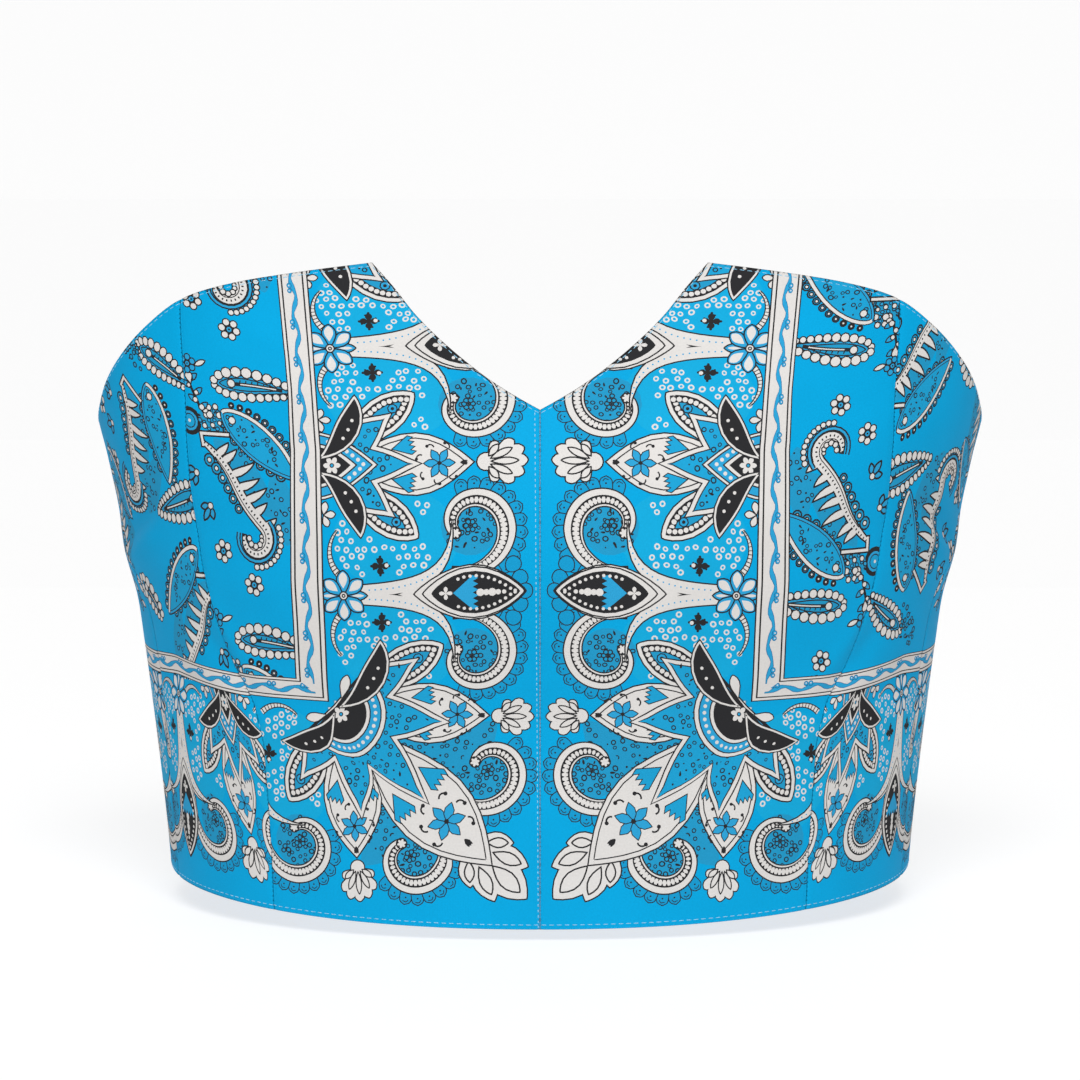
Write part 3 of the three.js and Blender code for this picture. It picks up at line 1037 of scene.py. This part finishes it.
def edge_fall(flat, edges, inner):
    """How far the cloth falls away at the edges: the square of how near they are, deeper at seams than at
    turned edges."""
    near_line, top, far_line, hem = edges
    fall = 0
    for line, across, drop, reach in (
        (near_line, 0, SEAM_DIP, 2.2),
        (far_line, 0, SEAM_DIP, 2.2),
        (top, 1, 0.4, 1.1),
        (hem, 1, 0.4, 1.1),
    ):
        line = line[line[:, 1 - across].argsort()]
        slope = np.gradient(line[:, across], line[:, 1 - across])
        off = flat[:, across] - np.interp(flat[:, 1 - across], line[:, 1 - across], line[:, across])
        off /= np.hypot(1, np.interp(flat[:, 1 - across], line[:, 1 - across], slope))
        off *= np.sign(inner[across] - line[:, across].mean())
        fall = fall + drop * np.maximum(1 - off / reach, 0) ** 2
    return fall


def on_form(flat, form, edges, side, inwards=0.0):
    """Places in mm: the ring point moved along its normal by the creases, less the fall at the edges."""
    turn, height = form(flat)
    around = ring_point(turn + 0.2, height) - ring_point(turn - 0.2, height)
    upward = ring_point(turn, height + 0.5) - ring_point(turn, height - 0.5)
    inner = (edges[0].mean(axis=0) + edges[2].mean(axis=0)) / 2
    fall = edge_fall(flat, edges, inner) * (1 if inwards == 0 else 0.2)
    out = relief(length_round(turn, height), height) - fall - inwards
    return (ring_point(turn, height) + unit(np.cross(around, upward)) * out[:, None]) * (side, 1, 1)


def cut_cloth(outline, drawing, spacing):
    """Flat triangles of a panel, cut along every printed outline, and the ink on top of each."""
    low, high = outline.min(axis=0), outline.max(axis=0)
    shapes = [("sky", outline)]
    near = [s for s in drawing if (s[1].max(axis=0) > low).all() and (s[1].min(axis=0) < high).all()]
    shapes += [(ink, stepped(shape, spacing)) for ink, shape in near]
    edges, start = [], 0
    for _, shape in shapes:
        ring = np.arange(start, start + len(shape))
        edges += [np.stack([ring, np.roll(ring, -1)], -1)]
        start += len(shape)
    fill = net(outline, spacing)
    fill = clear_of(outline, fill[inside(outline, fill)], 0.4 * spacing)
    rows = [spaced(grown(outline, -inset), 1.6)[0] for inset in (0.3, 0.8, 1.6)]
    rows = [row[inside(outline, row)] for row in rows]
    corners = np.concatenate([*[shape for _, shape in shapes], fill, *rows])
    edges = np.concatenate(edges).tolist()
    merge = 0.015  # mm within which two points become one
    flat, _, triangles, *_ = delaunay_2d_cdt(corners.tolist(), edges, [], 0, merge, False)
    flat, triangles = np.array([tuple(v) for v in flat]), np.array(triangles)
    # Each outline inks the triangles whose centres it holds, over what lies there already
    centres = flat[triangles].mean(axis=1)
    order = centres[:, 1].argsort()
    triangles, centres = triangles[order], centres[order]
    top = np.full(len(triangles), -1)
    for number, (_, shape) in enumerate(shapes):
        first, last = np.searchsorted(centres[:, 1], (shape[:, 1].min(), shape[:, 1].max()))
        x = centres[first:last, 0]
        near = first + np.flatnonzero((x > shape[:, 0].min()) & (x < shape[:, 0].max()))
        near = near[inside(shape, centres[near])]
        top[near[top[near] >= 0] if number else near] = number
    inks = np.array([ink for ink, _ in shapes])[top[top >= 0]]
    used, triangles = np.unique(triangles[top >= 0], return_inverse=True)
    return flat[used], triangles.reshape(-1, 3), inks


def rim_of(flat, triangles, outline):
    """Boundary vertices in order round the outline, and how far round each lies."""
    pairs = np.concatenate([triangles[:, [0, 1]], triangles[:, [1, 2]], triangles[:, [2, 0]]])
    ordered = np.sort(pairs, axis=1)
    _, first, count = np.unique(ordered, axis=0, return_index=True, return_counts=True)
    border = np.unique(pairs[first[count == 1]])
    _, place = edge_distance(outline, flat[border])
    order = place.argsort()
    return border[order], place[order]


def linear(value):
    """sRGB hex to linear red, green and blue: the power curve of the sRGB standard."""
    channels = np.array([int(value[k : k + 2], 16) / 255 for k in (1, 3, 5)])
    return np.where(channels <= 0.04045, channels / 12.92, ((channels + 0.055) / 1.055) ** 2.4)


# Screen inks on dyed ground, and how the same place looks from the cloth's reverse, where half of each
# soaks through
INKS = {
    "sky": "#009cd1",
    "meadow": "#0f9fce",
    "teal": "#1a97c6",
    "scale": "#1291c2",
    "haze": "#1f8fbb",
    "vine": "#2a98c8",
    "deep": "#12618c",
    "black": "#28282a",
    "white": "#d2cfcc",
}
face_ink = {ink: linear(value) for ink, value in INKS.items()}
reverse_ink = {ink: 0.45 * colour + 0.55 * linear("#4fb6e6") for ink, colour in face_ink.items()}


def node_in(tree, kind, settings=(), links=()):
    """Adds a node, sets its properties and socket values by name or number, and links (input, node,
    output)."""
    node = tree.nodes.new(kind)
    for key, value in dict(settings).items():
        if isinstance(key, str) and hasattr(node, key):
            setattr(node, key, value)
        else:
            node.inputs[key].default_value = value
    for into, source, output in links:
        tree.links.new(source.outputs[output], node.inputs[into])
    return node


def shader_of(name, settings):
    """New material, and its shader with these socket values."""
    material = bpy.data.materials.new(name)
    material.use_nodes = True
    shader = material.node_tree.nodes["Principled BSDF"]
    for socket, value in settings.items():
        shader.inputs[socket].default_value = value
    return material, shader


def cotton_sateen():
    """Printed cotton sateen: matt, with a soft low sheen. The dye is a little uneven, and threads show as
    a fine grain."""
    sockets = {"Roughness": 0.72, "Specular IOR Level": 0.08}
    material, shader = shader_of("printed cotton sateen", sockets)
    tree = material.node_tree
    thread = 0.9  # mm between threads; the real 0.3 mm is too fine to show
    ink = node_in(tree, "ShaderNodeAttribute", {"attribute_name": "ink"})
    cloth_map = node_in(tree, "ShaderNodeUVMap", {"uv_map": "cloth"})
    noises = []
    for scale, detail in ((32.0, 3.0), (1400.0, 2.0)):  # blotches of dye, and the threads' grain
        settings = {"Scale": scale, "Detail": detail}
        noises += [node_in(tree, "ShaderNodeTexNoise", settings, [("Vector", cloth_map, "UV")])]
    sources = [(k, noise, "Fac") for k, noise in enumerate(noises)]
    both = node_in(tree, "ShaderNodeMath", {"operation": "ADD"}, sources)
    span = {"From Min": 0.6, "From Max": 1.4, "To Min": 0.93, "To Max": 1.07}
    shade = node_in(tree, "ShaderNodeMapRange", span, [("Value", both, 0)])
    sources = [("Vector", ink, "Color"), ("Scale", shade, 0)]
    dyed = node_in(tree, "ShaderNodeVectorMath", {"operation": "SCALE"}, sources)
    tree.links.new(dyed.outputs[0], shader.inputs["Base Color"])
    waves = []
    for direction in ("X", "Y"):
        settings = {"bands_direction": direction, "Scale": 0.314 / (thread * MM)}
        settings |= {"Distortion": 1.2, "Detail": 1.0}
        waves += [node_in(tree, "ShaderNodeTexWave", settings, [("Vector", cloth_map, "UV")])]
    sources = [(k, wave, "Fac") for k, wave in enumerate(waves)]
    weave = node_in(tree, "ShaderNodeMath", {"operation": "MULTIPLY"}, sources)
    bump = node_in(tree, "ShaderNodeBump", {"Strength": 0.12, "Distance": 0.08 * MM}, [("Height", weave, 0)])
    tree.links.new(bump.outputs[0], shader.inputs["Normal"])
    return material


cotton = cotton_sateen()


EVEN_SHARES = np.linspace(0, 1, 90)
SOAK_AREA = 45  # square mm of a shape's box, above which its ink shows on the reverse


def sew_panel(name, near, far, lie, side, drawing, shares=EVEN_SHARES):
    """Closed mesh of one panel: the printed face, its paler reverse 1.2 mm inside, and a rim between them."""
    flatten, form = lie
    edges = edges_of(near, far, flatten, shares)
    near_line, top, far_line, hem = edges
    outline = np.concatenate([near_line[:-1], top[:-1], far_line[::-1][:-1], hem[::-1][:-1]])
    outline = grown(outline, -0.02)
    places, normals, triangles, colours, flats, rims, start = [], [], [], [], [], [], 0
    big = [s for s in drawing if np.prod(np.ptp(s[1], axis=0)) > SOAK_AREA]
    for prints, spacing, inwards, palette in ((drawing, 2.8, 0.0, face_ink), (big, 4.0, WALL, reverse_ink)):
        flat, faces, inks = cut_cloth(outline, prints, spacing)
        border, place = rim_of(flat, faces, outline)
        lay = lambda *shift: on_form(flat + shift, form, edges, side, inwards)
        normal = np.cross(lay(0.3, 0) - lay(-0.3, 0), lay(0, 0.3) - lay(0, -0.3))
        places += [lay(0, 0)]
        normals += [unit(normal * (-side if inwards == 0 else side))]
        outward = (inwards == 0) == (side < 0)
        triangles += [start + (faces if outward else faces[:, ::-1])]
        colours += [np.array([palette[ink] for ink in inks])]
        flats += [flat]
        rims += [(border + start, place)]
        start += len(flat)
    places, normals, flats = (np.concatenate(parts) for parts in (places, normals, flats))
    # The rim is a strip: each step goes on to the next boundary vertex of either the face or the reverse
    (outer, outer_place), (inner, inner_place) = rims
    order = np.concatenate([outer_place, inner_place]).argsort(kind="stable")
    is_outer = order < len(outer)
    vertex = np.concatenate([outer, inner])[order]
    last_outer = outer[(np.cumsum(is_outer) - 1) % len(outer)]
    last_inner = inner[(np.cumsum(~is_outer) - 1) % len(inner)]
    before = np.roll(np.stack([last_outer, last_inner], -1), 1, axis=0)
    strip = np.stack([before[:, 0], before[:, 1], vertex], -1)
    if side < 0:
        strip = strip[:, ::-1]
    triangles = np.concatenate([*triangles, strip])
    colours = np.concatenate([*colours, np.tile(face_ink["sky"], (len(strip), 1))])
    mesh = bpy.data.meshes.new(name)
    mesh.from_pydata((places * MM).tolist(), [], triangles.tolist())
    mesh.polygons.foreach_set("use_smooth", np.ones(len(triangles), bool))
    ink = mesh.color_attributes.new("ink", "FLOAT_COLOR", "CORNER")
    corner_colours = np.repeat(np.column_stack([colours, np.ones(len(colours))]), 3, axis=0)
    ink.data.foreach_set("color", corner_colours.ravel())
    mesh.uv_layers.new(name="cloth").data.foreach_set("uv", (flats[triangles.ravel()] * MM).ravel())
    loop_normals = normals[triangles.ravel()]
    corner = places[triangles[-len(strip):]]
    flat_normal = unit(np.cross(corner[:, 1] - corner[:, 0], corner[:, 2] - corner[:, 0]))
    loop_normals[-3 * len(strip):] = np.repeat(flat_normal, 3, axis=0)
    mesh.normals_split_custom_set(loop_normals.tolist())
    mesh.materials.append(cotton)
    piece = in_scene(name + "_cloth", mesh)
    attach(piece, "root")
    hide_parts(name)


PEAK_SHARE = PEAK_TURN / along(PRINCESS_SEAM, 1, 55)
front_shares = np.concatenate([np.linspace(0, PEAK_SHARE, 50), np.linspace(PEAK_SHARE, 1, 50)[1:]])
border_print, frame_print, field_print = border(), frame_corner(), field_set()
for half, side, up in (("left", -1, 1), ("right", 1, -1)):
    field = []
    for number in (-1, 0, 1):
        field += placed(field_print, (-45.0, FIELD_MIDDLE + up * 20 + number * FIELD_REPEAT), (1, up))
    print_parts = field + border_print + frame_print
    lie = (front_flat, front_form)
    sew_panel(f"front_{half}", CENTRE_FRONT, PRINCESS_SEAM, lie, side, print_parts, front_shares)


# Side panels: the same cotton, from the princess seam to the side seam, cut so that the frame's level side
# runs on. The curve of the seam makes the border lean towards centre front as it goes down.
def level_border(axes, lie):
    """Border along the hem: repeats centred on lotus axes, each point then laid by lie(below, along,
    axis)."""
    parts, tops = [], []
    for number, axis in enumerate(axes):
        both = half_repeat(30 + number) + placed(half_repeat(40 + number), (0, 2 * HALF_REPEAT), (1, -1))
        repeat = placed(both, (0, -HALF_REPEAT)) + turned(shell(), 0, (SHELL_AT, 0)) + lotus()
        parts += [(ink, lie(part[:, 0], part[:, 1], axis)) for ink, part in repeat]
        for end in (-HALF_REPEAT, HALF_REPEAT):
            fork = turned(stem(), 0, (0, end)) + turned(frame_flower(), 0, (FLOWER_AT, end))
            tops += [(ink, lie(part[:, 0], part[:, 1], axis)) for ink, part in fork]
    return parts + tops


def side_lie(below, along_hem, axis):
    """Drawing place on the side panel: squeezed round the body, leaning, and following the frame's bent
    side."""
    lean = 0.05 + 0.195 * np.clip(1 + along_hem / HALF_REPEAT, 0, 1) * (axis > -60)
    x = axis + 0.62 * along_hem + lean * below
    return np.stack([x, side_foot(x) - 0.93 * below], -1)


def side_foot(x):
    """Height of the frame's outer line along the side panel."""
    return np.interp(x, [-128, -105, -74, -57, -35], [79.5, 80.2, 81.2, 79.4, 77.4])


side_band = []
for ink, part in placed(frame_band(150, BAND_LOW, 0), (20, 0), (-1, 1)):
    part = stepped(part, 3.0)
    side_band += [(ink, part * (1, 0.94) + np.stack([0 * part[:, 0], side_foot(part[:, 0])], -1))]
side_border = [("sky", np.array([(-140, -10), (0, -10), (0, 80), (-140, 80)]))]
side_border += level_border((-100.0, -46.0), side_lie)
for half, side, up in (("left", -1, 1), ("right", 1, -1)):
    upper_set = turned(comb_paisley(), -45, (-80.5, 187.3))
    upper_set += turned(bead_drop(22.0, 3.0, 1.35), -27, (-67.0, 199.4))
    upper_set += turned(filigree(leaf(22, 6, 0.5, 0.8, 12), 2.2, 41, "haze", 0.8), 118, (-68.0, 190.0))
    lower_set = placed(comb_paisley(), (-45.0, 120.1), (-0.8, 1.1))
    lower_set += turned(bead_drop(24.0, 3.8, 1.35), 203, (-48.6, 148.2))
    lower_set += turned(bead_drop(17, 1.6), -30, (-95.6, 113.4))
    outer_set = placed(comb_paisley(), (-122.0, 150.0), (0.6, 1.0)) + turned(blossom(3.0), 0, (-106.6, 176.0))
    field = placed(upper_set + outer_set + lower_set, (0, FIELD_MIDDLE * (1 - up)), (1, up))
    print_parts = field + side_border + side_band
    sew_panel(f"side_{half}", PRINCESS_SEAM, SIDE_SEAM, (front_flat, front_form), side, print_parts)


# Back panels: the same cotton, from the side seam to the centre-back seam, cut level: a lotus of the border
# lies on centre back, the frame runs straight across, and the field's paisleys stand over it.
BACK_FOOT = 80.0


def back_lie(below, along_hem, axis):
    """Drawing place on the back panel: straight down from the frame."""
    return np.stack([axis + along_hem, BACK_FOOT - 0.98 * below], -1)


back_border = level_border((0.0, 2 * HALF_REPEAT, 4 * HALF_REPEAT), back_lie)
back_band = [(ink, stepped(part, 3.0)) for ink, part in placed(frame_band(250, BAND_LOW, 0), (-6, BACK_FOOT))]
back_ground = [("sky", np.array([(-10, -10), (260, -10), (260, BACK_FOOT), (-10, BACK_FOOT)]))]
back_field = []
for number, x in enumerate((14.0, 82.0, 150.0, 218.0)):
    up = 1 if number % 2 == 0 else -1
    for row in (0, 1):
        foot = 132.0 - up * 6 + up * row * FIELD_REPEAT - (1 - up) * 4
        back_field += placed(field_print, (x, foot), (1, up))
for half, side in (("left", -1), ("right", 1)):
    print_parts = back_field + back_ground + back_border + back_band
    sew_panel(f"back_{half}", SIDE_SEAM, CENTRE_BACK, (back_flat, back_form), side, print_parts)


# Stitches: pale blue polyester thread, lockstitched. One row holds the turned neckline and hem of each
# panel, and one runs beside the centre-front seam and moves towards it lower down.
def stitches(name, paths, pitch, long, thick):
    """One mesh of rounded bars, half sunk in the cloth: a bar of the given size every pitch along paths of
    mm places."""
    stations = np.array([-0.5, -0.32, 0.32, 0.5])
    swell = np.array([0.4, 1.0, 1.0, 0.4])
    angle = np.linspace(0, 2 * math.pi, 6, endpoint=False)
    round_it = [np.outer(swell, wave(angle)).ravel() * thick / 2 for wave in (np.cos, np.sin)]
    bar = np.stack([np.repeat(stations * long, 6), *round_it], -1)
    ring, next_ring = np.arange(6), (np.arange(6) + 1) % 6
    walls = [np.stack([ring + a, next_ring + a, next_ring + a + 6, ring + a + 6], -1) for a in (0, 6, 12)]
    places, faces = [], []
    for path in paths:
        lengths = lengths_along(path)
        at = np.arange(pitch / 2, lengths[-1], pitch)
        middle, ahead = (
            np.stack([np.interp(at + step, lengths, path[:, k]) for k in range(3)], -1)
            for step in (0, 0.4)
        )
        run = unit(ahead - middle)
        across = unit(np.cross(run, middle * (1, 1, 0)))
        axes = np.stack([run, across, np.cross(across, run)], 1)
        places += [(middle[:, None] + bar @ axes).reshape(-1, 3)]
    places = np.concatenate(places)
    starts = np.arange(0, len(places), len(bar))[:, None]
    for wall in np.concatenate(walls):
        faces += (starts + wall).tolist()
    for cap in (ring[::-1], ring + 18):
        faces += (starts + cap).tolist()
    mesh = bpy.data.meshes.new(name)
    mesh.from_pydata((places * MM).tolist(), [], faces)
    mesh.polygons.foreach_set("use_smooth", np.ones(len(faces), bool))
    mesh.materials.append(thread)
    piece = in_scene(name, mesh)
    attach(piece, "root")


def polyester_thread():
    """Thread: two plies twisted, seen as fine diagonal bands of two blues, and slightly glossy."""
    sockets = {"Roughness": 0.5, "Specular IOR Level": 0.2}
    material, shader = shader_of("polyester sewing thread", sockets)
    tree = material.node_tree
    place = node_in(tree, "ShaderNodeTexCoord")
    settings = {"bands_direction": "DIAGONAL", "Scale": 900.0}
    twist = node_in(tree, "ShaderNodeTexWave", settings, [("Vector", place, "Object")])
    plies = {"data_type": "RGBA", 6: (*linear("#6fb4d8"), 1), 7: (*linear("#a9d6ea"), 1)}
    tint = node_in(tree, "ShaderNodeMix", plies, [(0, twist, "Fac")])
    tree.links.new(tint.outputs[2], shader.inputs["Base Color"])
    return material


thread = polyester_thread()
HEM_ROW, NECK_ROW = 1.7, 1.5  # mm from the turned edge
rows = []
for near, far, lie, shares in (
    (CENTRE_FRONT, PRINCESS_SEAM, (front_flat, front_form), front_shares),
    (PRINCESS_SEAM, SIDE_SEAM, (front_flat, front_form), EVEN_SHARES),
    (SIDE_SEAM, CENTRE_BACK, (back_flat, back_form), EVEN_SHARES),
):
    edges = edges_of(near, far, lie[0], shares)
    for side in (-1, 1):
        rows += [on_form(edges[3] + (0, HEM_ROW), lie[1], edges, side)]
        rows += [on_form(edges[1] - (0, NECK_ROW), lie[1], edges, side)]
edges = edges_of(CENTRE_FRONT, PRINCESS_SEAM, front_flat, front_shares)
beside_seam = edges[0] - np.stack([np.interp(edges[0][:, 1], [0, 195], [0.6, 1.8]), 0 * edges[0][:, 1]], -1)
front_row = on_form(beside_seam, front_form, edges, -1)
stitches("hem_stitches", rows, 2.6, 1.7, 0.26)
stitches("centre_front_stitches", [front_row], 1.9, 1.0, 0.34)

# Floor: one pale sweep of paper just under the hem, curved up behind. The paper glows evenly, a painted
# light with no lamp, so that shadows on it stay light.
floor_height = -0.1735
sweep_y = np.array([-2.2, 0.9, 1.3, 1.55, 1.7, 1.75])
sweep_z = floor_height + np.array([0, 0, 0.04, 0.17, 0.4, 2.6])
x_ends = np.array([-2.6, 2.6])
sweep_points = [(x, y, z) for y, z in zip(sweep_y, sweep_z) for x in x_ends]
sweep_faces = [(2 * k, 2 * k + 1, 2 * k + 3, 2 * k + 2) for k in range(len(sweep_y) - 1)]
sweep_mesh = bpy.data.meshes.new("sweep")
sweep_mesh.from_pydata(sweep_points, [], sweep_faces)
sweep = in_scene("sweep", sweep_mesh)
# The emission is a painted glow: it brightens the paper evenly and lightens the shadows on it.
paper_sockets = {
    "Base Color": (0.3, 0.3, 0.3, 1),
    "Roughness": 0.9,
    "Emission Color": (1, 1, 1, 1),
    "Emission Strength": 0.71,
}
sweep_mesh.materials.append(shader_of("matt backdrop paper with painted glow", paper_sockets)[0])

# Light: a dim pale room and one wide soft box, high in front.
world = bpy.data.worlds.new("studio")
world.use_nodes = True
world.node_tree.nodes["Background"].inputs["Color"].default_value = (1, 1, 1, 1)
world.node_tree.nodes["Background"].inputs["Strength"].default_value = 0.15
bpy.context.scene.world = world
key_place = Vector((0, -2.4, 2.3))
lamp = bpy.data.lights.new("key", "AREA")
lamp.size = 1.6
lamp.energy = 110
lamp_object = in_scene("key", lamp)
lamp_object.location = key_place
lamp_object.rotation_euler = (aim - key_place).to_track_quat("-Z", "Y").to_euler()
bpy.context.scene.view_settings.view_transform = "Standard"
